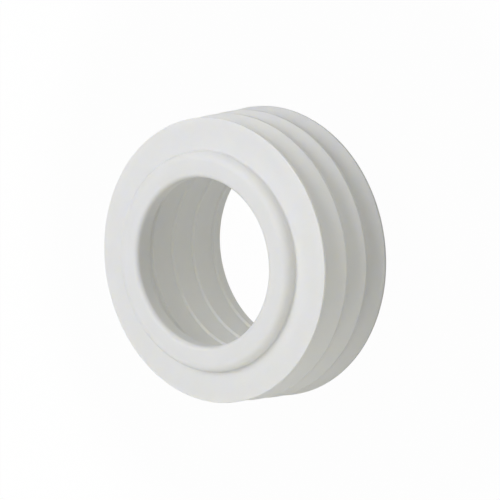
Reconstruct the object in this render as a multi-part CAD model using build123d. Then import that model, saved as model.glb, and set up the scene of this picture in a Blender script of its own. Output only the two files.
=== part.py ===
"""Rubber flush cone: one moulded ring that seals a flush pipe into the inlet of a toilet pan.

The section is turned about Z. The rear end, where the pipe goes in, stands on Z = 0, and the nose
collar, which enters the pan first, is at the top. All sizes are in millimetres.
"""

import os

from build123d import *

# Bore: the wall stands clear of the pipe, and a row of ribs grips it
GRIP_RADIUS = 18.7
RIB_HEIGHT = 0.4
RIB_COUNT = 4
RIB_PITCH = 6.15
RIB_CREST = 0.4
RIB_FLANK = 0.35
RIB_ROUND = 0.15
LAST_RIB_HEIGHT = 2.65
ENTRY_ROUND = 0.7

# Stop lip: the nose reaches in front of the bore, so the end of the pipe stops against it
LIP_REACH = 2.9
LIP_THICKNESS = 3.5
LIP_ROUND = 0.4
STOP_FILLET = 0.5
MOUTH_ROUND = 1.0

# Nose collar: the well-rounded step round the mouth
COLLAR_WIDTH = 4.95
COLLAR_HEIGHT = 2.5
COLLAR_ROUND = 1.7
COLLAR_FILLET = 0.35

# Rear sleeve: the plain tube end that the ring stands on
SLEEVE_WALL = 2.9
SLEEVE_LENGTH = 7.15
SLEEVE_ROUND = 0.5
SLEEVE_FILLET = 1.0

# Front disc and fins: the disc's face rises from its rim to the collar. The fins behind it are thin lips,
# each a little wider than the one in front, with a groove of one depth before each
DISC_RADIUS = 27.45
DISC_RISE = 0.7
FIN_COUNT = 3
FIN_PITCH = 5.6
FRONT_PITCH = 6.2
FIN_GROWTH = 0.3
FIN_RAKE = 0.85
TIP_THICKNESS = 0.55
TIP_ROUND = 0.2
GROOVE_DEPTH = 2.7
GROOVE_ROUND = 0.5


def sleeve_corners(wall_radius):
    """The outside of the rear sleeve, from the end face up to the root of the last fin."""
    sleeve_radius = wall_radius + SLEEVE_WALL
    return [
        (sleeve_radius, 0, SLEEVE_ROUND),
        (sleeve_radius, SLEEVE_LENGTH, SLEEVE_FILLET),
    ]


def fin_corners():
    """The fins from the last one up to the groove behind the front disc."""
    corners = []
    for fin in range(FIN_COUNT):
        places_behind_disc = FIN_COUNT - fin
        tip_radius = DISC_RADIUS + FIN_GROWTH * places_behind_disc
        tip_back = SLEEVE_LENGTH + FIN_RAKE + FIN_PITCH * fin
        next_back = tip_back + (FRONT_PITCH if places_behind_disc == 1 else FIN_PITCH)
        corners += [
            (tip_radius, tip_back, TIP_ROUND),
            (tip_radius, tip_back + TIP_THICKNESS, TIP_ROUND),
            (tip_radius - GROOVE_DEPTH, next_back - FIN_RAKE, GROOVE_ROUND),
        ]
    return corners


def nose_corners(disc_back, lip_radius):
    """The rim of the front disc, its dished face, the collar, the mouth and the back of the stop lip."""
    rim_face = disc_back + TIP_THICKNESS
    collar_foot = rim_face + DISC_RISE
    collar_face = collar_foot + COLLAR_HEIGHT
    collar_radius = lip_radius + COLLAR_WIDTH
    return [
        (DISC_RADIUS, disc_back, TIP_ROUND),
        (DISC_RADIUS, rim_face, TIP_ROUND),
        (collar_radius, collar_foot, COLLAR_FILLET),
        (collar_radius, collar_face, COLLAR_ROUND),
        (lip_radius, collar_face, MOUTH_ROUND),
        (lip_radius, collar_face - LIP_THICKNESS, LIP_ROUND),
        (lip_radius + LIP_REACH, collar_face - LIP_THICKNESS, STOP_FILLET),
    ]


def bore_corners(wall_radius):
    """The ribs, from the front one down to the rounded entry at the rear end."""
    corners = []
    for rib in reversed(range(RIB_COUNT)):
        middle = LAST_RIB_HEIGHT + RIB_PITCH * rib
        crest_top = middle + RIB_CREST / 2
        crest_end = middle - RIB_CREST / 2
        corners += [
            (wall_radius, crest_top + RIB_FLANK, RIB_ROUND),
            (GRIP_RADIUS, crest_top, RIB_ROUND),
            (GRIP_RADIUS, crest_end, RIB_ROUND),
            (wall_radius, crest_end - RIB_FLANK, RIB_ROUND),
        ]
    corners.append((wall_radius, 0, ENTRY_ROUND))
    return corners


wall_radius = GRIP_RADIUS + RIB_HEIGHT
disc_back = SLEEVE_LENGTH + FIN_RAKE + FIN_PITCH * (FIN_COUNT - 1) + FRONT_PITCH
corners = sleeve_corners(wall_radius) + fin_corners()
corners += nose_corners(disc_back, wall_radius - LIP_REACH) + bore_corners(wall_radius)

outline = FilletPolyline(
    *[(radius, 0, height) for radius, height, rounding in corners],
    radius=[rounding for radius, height, rounding in corners],
    close=True,
)
flush_cone = revolve(make_face(outline), Axis.Z)

os.makedirs("parts", exist_ok=True)
export_step(flush_cone, "parts/flush_cone.step")
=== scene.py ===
"""Looks of a rubber flush cone: one moulded white ring that stands on its rear end on a pale floor."""

import math

import bpy
from mathutils import Matrix, Vector, noise


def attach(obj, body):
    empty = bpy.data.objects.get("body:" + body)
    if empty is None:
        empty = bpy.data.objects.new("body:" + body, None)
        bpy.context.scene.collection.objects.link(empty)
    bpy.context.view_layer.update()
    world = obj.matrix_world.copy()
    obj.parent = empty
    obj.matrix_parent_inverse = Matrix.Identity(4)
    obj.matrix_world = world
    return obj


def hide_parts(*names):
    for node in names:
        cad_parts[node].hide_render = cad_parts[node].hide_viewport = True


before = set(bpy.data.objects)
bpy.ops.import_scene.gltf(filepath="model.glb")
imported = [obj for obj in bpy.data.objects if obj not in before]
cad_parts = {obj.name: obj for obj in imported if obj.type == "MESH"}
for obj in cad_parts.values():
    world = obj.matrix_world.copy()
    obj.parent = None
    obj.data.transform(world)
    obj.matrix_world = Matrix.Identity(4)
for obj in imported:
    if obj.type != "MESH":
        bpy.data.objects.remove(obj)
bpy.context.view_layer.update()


# Moulded ring. The real piece is soft white rubber, pressed in a turned steel mould that opens along
# the axis. Its nose collar, front disc, thin fins, grip ribs, stop lip and rear sleeve are one section,
# so it is turned here from one rounded outline of (radius, height, rounding), in metres.
grip_radius = 0.0187
wall_radius = 0.0191
entry_round = 0.0007
rib_heights = (0.0211, 0.01495, 0.0088, 0.00265)
rib_crest = 0.0004
rib_flank = 0.00035
rib_round = 0.00015

sleeve_radius = 0.0220
sleeve_length = 0.00715
sleeve_round = 0.0005
sleeve_fillet = 0.0010

fin_backs = (0.0080, 0.0136, 0.0192)
fin_radii = (0.02835, 0.02805, 0.02775)
groove_depth = 0.0027
groove_round = 0.0005
fin_rake = 0.00085
tip_thickness = 0.00055
tip_round = 0.0002

disc_radius = 0.02745
disc_back = 0.0254
rim_face = disc_back + tip_thickness
collar_foot = 0.02665

collar_radius = 0.02115
collar_face = 0.02915
collar_round = 0.0017
collar_fillet = 0.00035
mouth_radius = 0.0162
mouth_round = 0.0010
lip_back = 0.02565
lip_round = 0.0004
stop_fillet = 0.0005

corners = [
    (sleeve_radius, 0.0, sleeve_round),
    (sleeve_radius, sleeve_length, sleeve_fillet),
]
next_backs = fin_backs[1:] + (disc_back,)
for fin_radius, fin_back, next_back in zip(fin_radii, fin_backs, next_backs):
    corners += [
        (fin_radius, fin_back, tip_round),
        (fin_radius, fin_back + tip_thickness, tip_round),
        (fin_radius - groove_depth, next_back - fin_rake, groove_round),
    ]
corners += [
    (disc_radius, disc_back, tip_round),
    (disc_radius, rim_face, tip_round),
    (collar_radius, collar_foot, collar_fillet),
    (collar_radius, collar_face, collar_round),
    (mouth_radius, collar_face, mouth_round),
    (mouth_radius, lip_back, lip_round),
    (wall_radius, lip_back, stop_fillet),
]
for rib_height in rib_heights:
    rib_top = rib_height + rib_crest / 2
    rib_bottom = rib_height - rib_crest / 2
    corners += [
        (wall_radius, rib_top + rib_flank, rib_round),
        (grip_radius, rib_top, rib_round),
        (grip_radius, rib_bottom, rib_round),
        (wall_radius, rib_bottom - rib_flank, rib_round),
    ]
corners.append((wall_radius, 0.0, entry_round))


def rounded_outline(corners, arc_step, run_step, hold):
    """Points round a closed outline: arcs at its corners, and runs held straight next to each arc."""
    places = [Vector((radius, height)) for radius, height, rounding in corners]
    arcs = []
    for index, (radius, height, rounding) in enumerate(corners):
        corner = places[index]
        back = (places[index - 1] - corner).normalized()
        ahead = (places[(index + 1) % len(places)] - corner).normalized()
        half_angle = back.angle(ahead) / 2
        centre = corner + (back + ahead).normalized() * (rounding / math.sin(half_angle))
        start = corner + back * (rounding / math.tan(half_angle)) - centre
        end = corner + ahead * (rounding / math.tan(half_angle)) - centre
        sweep = math.pi - 2 * half_angle
        steps = max(4, math.ceil(sweep / arc_step))
        arc = []
        for step in range(steps + 1):
            turned = sweep * step / steps
            spoke = (start * math.sin(sweep - turned) + end * math.sin(turned)) / math.sin(sweep)
            arc.append(centre + spoke)
        arcs.append(arc)
    points = []
    for index, arc in enumerate(arcs):
        points += arc
        run_start = arc[-1]
        run = arcs[(index + 1) % len(arcs)][0] - run_start
        if run.length > 4 * hold:
            pieces = max(1, round((run.length - 2 * hold) / run_step))
            for piece in range(pieces + 1):
                share = (hold + (run.length - 2 * hold) * piece / pieces) / run.length
                points.append(run_start + run * share)
    return points


outline = rounded_outline(corners, arc_step=math.radians(15), run_step=0.0012, hold=0.00006)
turns = 288
waviness = 0.00002
wave_scale = 90.0
ring_points = []
for place in range(turns):
    angle = 2 * math.pi * place / turns
    for point in outline:
        spot = Vector((point.x * math.cos(angle), point.x * math.sin(angle), point.y))
        drift = waviness * noise.noise(spot * wave_scale)
        ring_points.append(spot + Vector((math.cos(angle), math.sin(angle), 0)) * drift)
ring_faces = []
outline_size = len(outline)
for place in range(turns):
    here = place * outline_size
    there = (place + 1) % turns * outline_size
    for step in range(outline_size):
        after = (step + 1) % outline_size
        ring_faces.append((here + step, there + step, there + after, here + after))
ring_mesh = bpy.data.meshes.new("flush_cone_ring")
ring_mesh.from_pydata(ring_points, [], ring_faces)
ring_mesh.polygons.foreach_set("use_smooth", [True] * len(ring_mesh.polygons))
ring_mesh.update()
ring = bpy.data.objects.new("flush_cone_ring", ring_mesh)
bpy.context.scene.collection.objects.link(ring)

rubber = bpy.data.materials.new("white_rubber")
rubber.use_nodes = True
nodes = rubber.node_tree.nodes
links = rubber.node_tree.links
skin = nodes["Principled BSDF"]
skin.inputs["IOR"].default_value = 1.5
skin.inputs["Specular IOR Level"].default_value = 0.35
skin.inputs["Subsurface Weight"].default_value = 1.0
skin.inputs["Subsurface Radius"].default_value = (1.0, 0.95, 0.8)
skin.inputs["Subsurface Scale"].default_value = 0.0005
place_on_ring = nodes.new("ShaderNodeTexCoord")

clouds = nodes.new("ShaderNodeTexNoise")
clouds.inputs["Scale"].default_value = 160.0
clouds.inputs["Detail"].default_value = 4.0
links.new(place_on_ring.outputs["Object"], clouds.inputs["Vector"])
tint = nodes.new("ShaderNodeValToRGB")
tint.color_ramp.elements[0].position = 0.3
tint.color_ramp.elements[0].color = (0.915, 0.915, 0.885, 1)
tint.color_ramp.elements[1].position = 0.7
tint.color_ramp.elements[1].color = (0.935, 0.935, 0.91, 1)
links.new(clouds.outputs["Fac"], tint.inputs["Fac"])
links.new(tint.outputs["Color"], skin.inputs["Base Color"])

sheen = nodes.new("ShaderNodeMapRange")
sheen.inputs["To Min"].default_value = 0.48
sheen.inputs["To Max"].default_value = 0.62
links.new(clouds.outputs["Fac"], sheen.inputs["Value"])
links.new(sheen.outputs["Result"], skin.inputs["Roughness"])

grain = nodes.new("ShaderNodeTexNoise")
grain.inputs["Scale"].default_value = 3200.0
grain.inputs["Detail"].default_value = 2.0
links.new(place_on_ring.outputs["Object"], grain.inputs["Vector"])
skin_grain = nodes.new("ShaderNodeBump")
skin_grain.inputs["Strength"].default_value = 0.12
skin_grain.inputs["Distance"].default_value = 0.0001
links.new(grain.outputs["Fac"], skin_grain.inputs["Height"])
links.new(skin_grain.outputs["Normal"], skin.inputs["Normal"])

ring_mesh.materials.append(rubber)
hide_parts("flush_cone")
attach(ring, "root")


# Floor. A wide sheet of matt board under the ring. Its glow is painted light: it stands in for a floor
# lit to white further out as in a catalogue picture, with a painted shadow of the ring (no glow) within
# about 60 mm of the axis, and a weaker painted glow on the patch inside the bore. This glow throws
# light back onto the ring.
# The camera sees the board almost as plain white, with a faint shade round the ring that is mostly the
# painted shadow and partly the ring's real shadow on the matt board.
floor_half = 3.0
floor_mesh = bpy.data.meshes.new("pale_floor")
floor_corners = [
    (-floor_half, -floor_half, 0),
    (floor_half, -floor_half, 0),
    (floor_half, floor_half, 0),
    (-floor_half, floor_half, 0),
]
floor_mesh.from_pydata(floor_corners, [], [(0, 1, 2, 3)])
floor = bpy.data.objects.new("pale_floor", floor_mesh)
bpy.context.scene.collection.objects.link(floor)

board = bpy.data.materials.new("pale_board")
board.use_nodes = True
board_nodes = board.node_tree.nodes
board_links = board.node_tree.links
matt = board_nodes["Principled BSDF"]
matt.inputs["Base Color"].default_value = (0.30, 0.30, 0.30, 1)
matt.inputs["Roughness"].default_value = 0.9
matt.inputs["Specular IOR Level"].default_value = 0.0

place_on_floor = board_nodes.new("ShaderNodeNewGeometry")
from_axis = board_nodes.new("ShaderNodeVectorMath")
from_axis.operation = "LENGTH"
board_links.new(place_on_floor.outputs["Position"], from_axis.inputs[0])
painted_glow_reach = 0.15
reach = board_nodes.new("ShaderNodeMapRange")
reach.inputs["From Max"].default_value = painted_glow_reach
board_links.new(from_axis.outputs["Value"], reach.inputs["Value"])
# Painted light and shadow on the board: a weak glow on the patch inside the bore, none from 21 to 60 mm
# from the axis as a painted shadow of the ring, then a glow rising from 0.6 at 75 mm to 0.8 at 150 mm
# and beyond.
painted_light_and_shadow = board_nodes.new("ShaderNodeValToRGB")
steps = painted_light_and_shadow.color_ramp.elements
steps[0].position = 0.0195 / painted_glow_reach
steps[0].color = (0.31, 0.31, 0.295, 1)
steps[1].position = 1.0
steps[1].color = (0.80, 0.80, 0.745, 1)
for distance, step_colour in (
    (0.021, (0.0, 0.0, 0.0, 1)),
    (0.060, (0.0, 0.0, 0.0, 1)),
    (0.075, (0.60, 0.60, 0.558, 1)),
):
    painted_glow_step = steps.new(distance / painted_glow_reach)
    painted_glow_step.color = step_colour
board_links.new(reach.outputs["Result"], painted_light_and_shadow.inputs["Fac"])
painted_glow = board_nodes.new("ShaderNodeEmission")
board_links.new(painted_light_and_shadow.outputs["Color"], painted_glow.inputs["Color"])
# The matt board lit by the lamps, plus the painted glow.
matt_plus_painted_glow = board_nodes.new("ShaderNodeAddShader")
board_links.new(matt.outputs["BSDF"], matt_plus_painted_glow.inputs[0])
board_links.new(painted_glow.outputs["Emission"], matt_plus_painted_glow.inputs[1])

white = board_nodes.new("ShaderNodeEmission")
seen = board_nodes.new("ShaderNodeLightPath")
seen_or_mirrored = board_nodes.new("ShaderNodeMath")
seen_or_mirrored.operation = "ADD"
board_links.new(seen.outputs["Is Camera Ray"], seen_or_mirrored.inputs[0])
board_links.new(seen.outputs["Is Glossy Ray"], seen_or_mirrored.inputs[1])
seen_at_all = board_nodes.new("ShaderNodeMath")
seen_at_all.operation = "ADD"
seen_at_all.use_clamp = True
board_links.new(seen_or_mirrored.outputs["Value"], seen_at_all.inputs[0])
board_links.new(seen.outputs["Is Transmission Ray"], seen_at_all.inputs[1])
white_share = board_nodes.new("ShaderNodeMath")
white_share.operation = "MULTIPLY"
white_share.inputs[1].default_value = 0.98
board_links.new(seen_at_all.outputs["Value"], white_share.inputs[0])
board_mix = board_nodes.new("ShaderNodeMixShader")
board_links.new(white_share.outputs["Value"], board_mix.inputs["Fac"])
board_links.new(matt_plus_painted_glow.outputs["Shader"], board_mix.inputs[1])
board_links.new(white.outputs["Emission"], board_mix.inputs[2])
board_links.new(board_mix.outputs["Shader"], board_nodes["Material Output"].inputs["Surface"])
floor_mesh.materials.append(board)


# Light. Soft studio light: a faint even room, a strong wide lamp high over the ring, and weaker wide
# lamps around it that fill the grooves and the bore. Each lamp is given as (name, direction round the
# ring and height over the floor in degrees, watts, colour).
world = bpy.data.worlds.new("studio")
bpy.context.scene.world = world
world.use_nodes = True
world.node_tree.nodes["Background"].inputs["Color"].default_value = (1.0, 1.0, 0.98, 1)
world.node_tree.nodes["Background"].inputs["Strength"].default_value = 0.15

lamp_distance = 1.0
lamp_size = 0.7
lamp_target = Vector((0, 0, 0.015))
cool = (0.925, 0.935, 1.0)
warm = (1.0, 1.0, 0.95)
for lamp_name, direction, height, watts, colour in (
    ("key_lamp", 105, 65, 5.45, cool),
    ("front_lamp", 0, 45, 1.10, warm),
    ("upper_lamp", 50, 40, 0.72, warm),
    ("low_lamp", 250, 15, 1.55, warm),
    ("lower_lamp", 265, 55, 1.30, warm),
):
    lamp_data = bpy.data.lights.new(lamp_name, "AREA")
    lamp_data.shape = "DISK"
    lamp_data.size = lamp_size
    lamp_data.energy = watts
    lamp_data.color = colour
    lamp = bpy.data.objects.new(lamp_name, lamp_data)
    bpy.context.scene.collection.objects.link(lamp)
    turn = math.radians(direction)
    rise = math.radians(height)
    towards = Vector((math.cos(turn) * math.cos(rise), math.sin(turn) * math.cos(rise), math.sin(rise)))
    lamp.location = lamp_target + towards * lamp_distance
    lamp.rotation_euler = (-towards).to_track_quat("-Z", "Y").to_euler()


# Camera. A long lens looks at the ring from the side and above, turned so that the nose points left.
# Lengths are in metres, and pixels are those of the square picture.
view_distance = 0.688
aim_height = 0.02566
view_tilt = math.radians(39.902)
view_roll = math.radians(189.359)
picture_pixels = 500
focal_pixels = 3598.04
picture_middle = Vector((249.5, 249.5))
disc_centre_pixel = Vector((211.95, 260.10))
sensor_width = 36.0

to_camera = Vector((math.sin(view_tilt), 0, math.cos(view_tilt)))
nose_side = Vector((-math.cos(view_tilt), 0, math.sin(view_tilt)))
across = Vector((0, -1, 0))
picture_right = nose_side * math.cos(view_roll) - across * math.sin(view_roll)
picture_up = nose_side * math.sin(view_roll) + across * math.cos(view_roll)
offset = disc_centre_pixel - picture_middle
eye = Vector((0, 0, aim_height)) + to_camera * view_distance
eye -= picture_right * (view_distance * offset.x / focal_pixels)
eye += picture_up * (view_distance * offset.y / focal_pixels)

camera_data = bpy.data.cameras.new("camera")
camera_data.sensor_width = sensor_width
camera_data.lens = focal_pixels / picture_pixels * sensor_width
camera_data.clip_start = 0.01
camera = bpy.data.objects.new("camera", camera_data)
bpy.context.scene.collection.objects.link(camera)
axes = Matrix((picture_right, picture_up, to_camera)).transposed().to_4x4()
camera.matrix_world = Matrix.Translation(eye) @ axes
bpy.context.scene.camera = camera
bpy.context.scene.view_settings.view_transform = "Standard"
